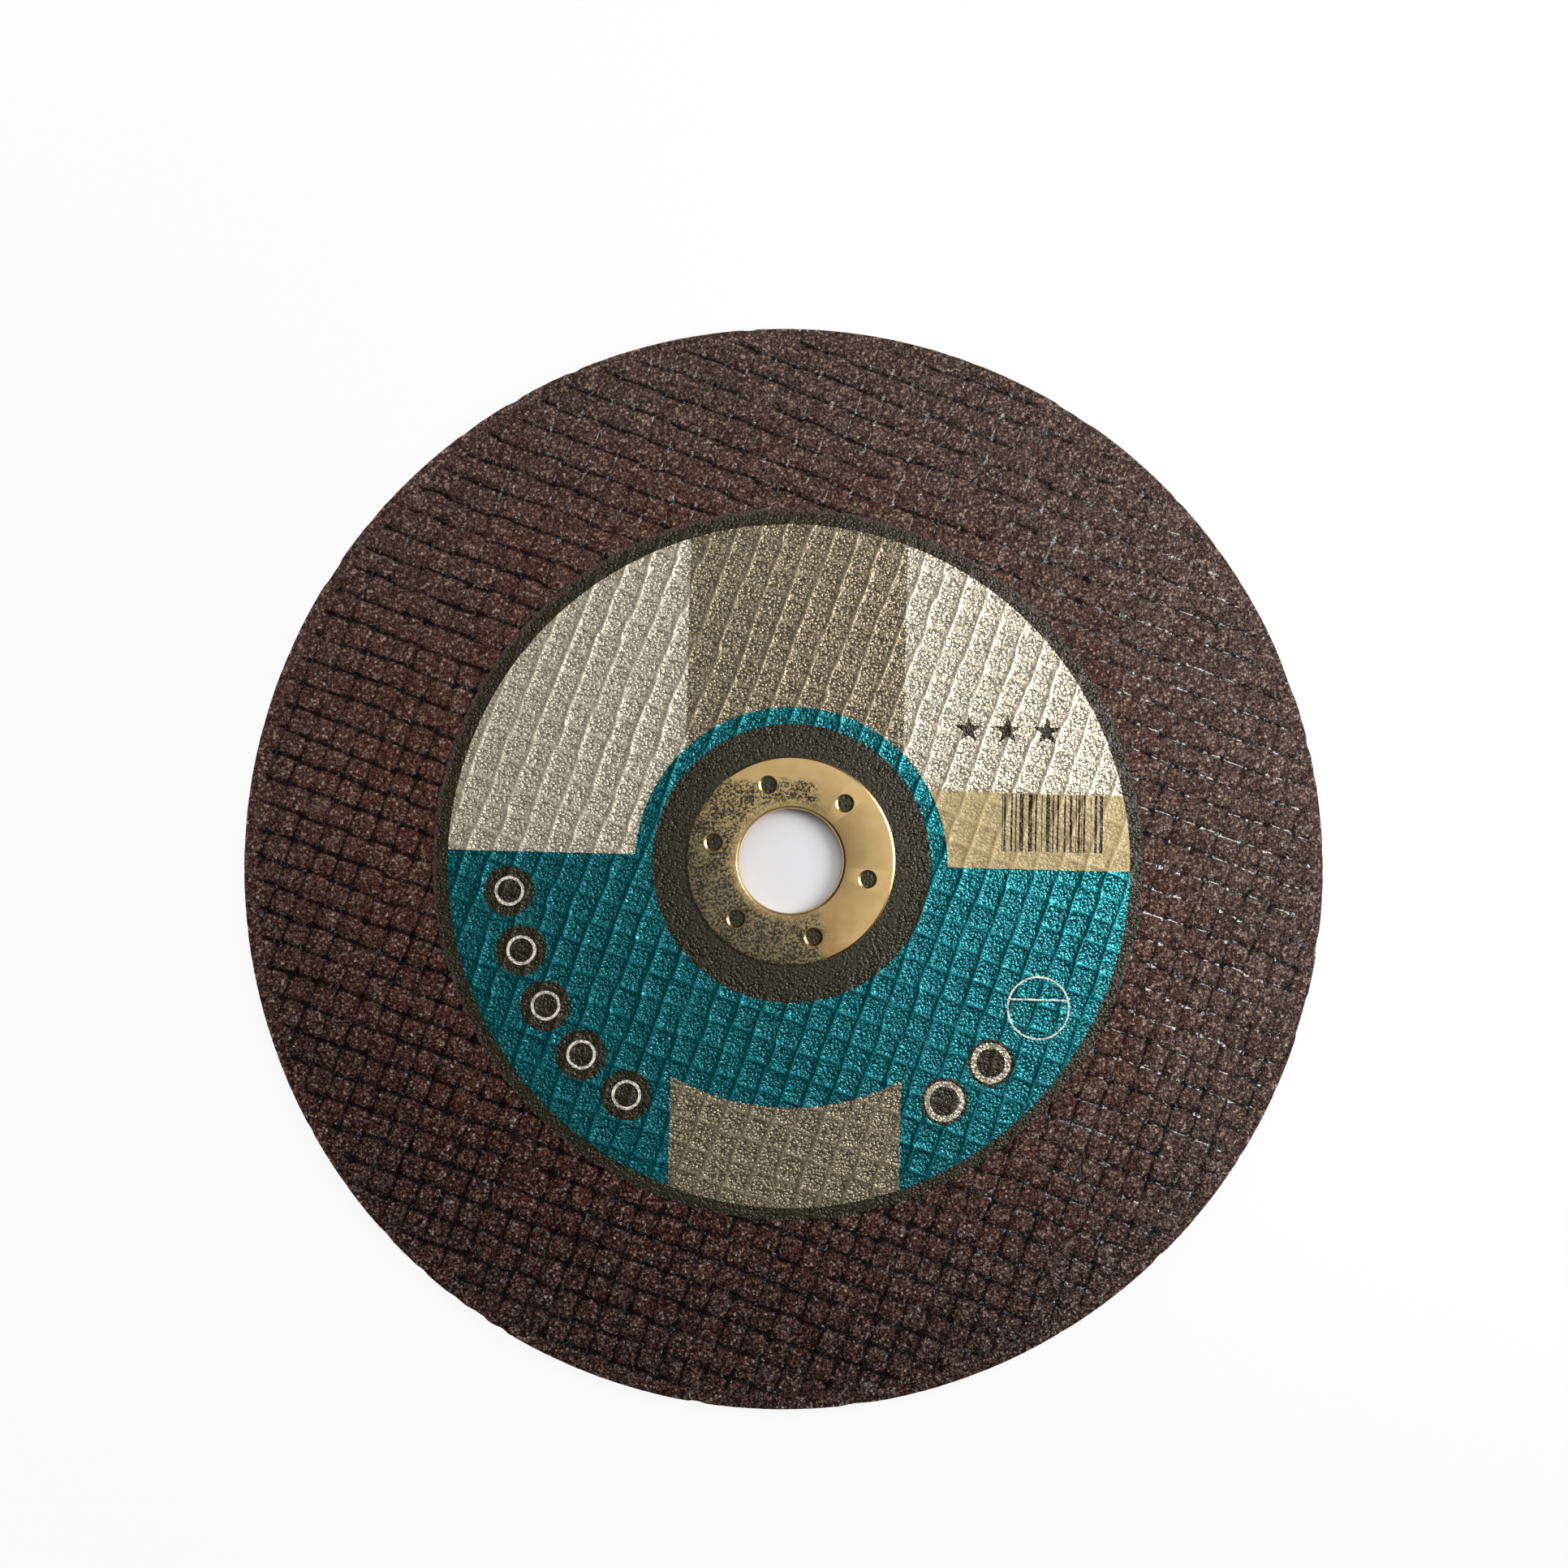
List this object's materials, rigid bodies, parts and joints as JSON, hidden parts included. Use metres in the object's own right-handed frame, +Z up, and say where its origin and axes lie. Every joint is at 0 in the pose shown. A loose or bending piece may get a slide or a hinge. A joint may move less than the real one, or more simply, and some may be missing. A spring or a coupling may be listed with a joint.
{
  "type": "cut-off wheel",
  "caption": "Flat reinforced abrasive cutting disc for an angle grinder, with a printed foil label on its front and a pressed steel ring lining its arbor bore.",
  "frame": {"origin": "centre of the bore in the plane of the back face that the wheel lies on", "axes": "+Z up along the bore, out of the labelled front; +X to the right of the label as it is read, +Y to its top"},
  "size_m": [0.23, 0.23, 0.0031],
  "materials": {
    "abrasive": "gritty, resin-bonded",
    "label_foil": "printed metallised foil",
    "ring_steel": "yellow passivated, tarnished"
  },
  "bodies": {
    "root": {"abrasive_disc": "abrasive", "label": "label_foil", "centre_ring": "ring_steel"}
  },
  "joints": []
}
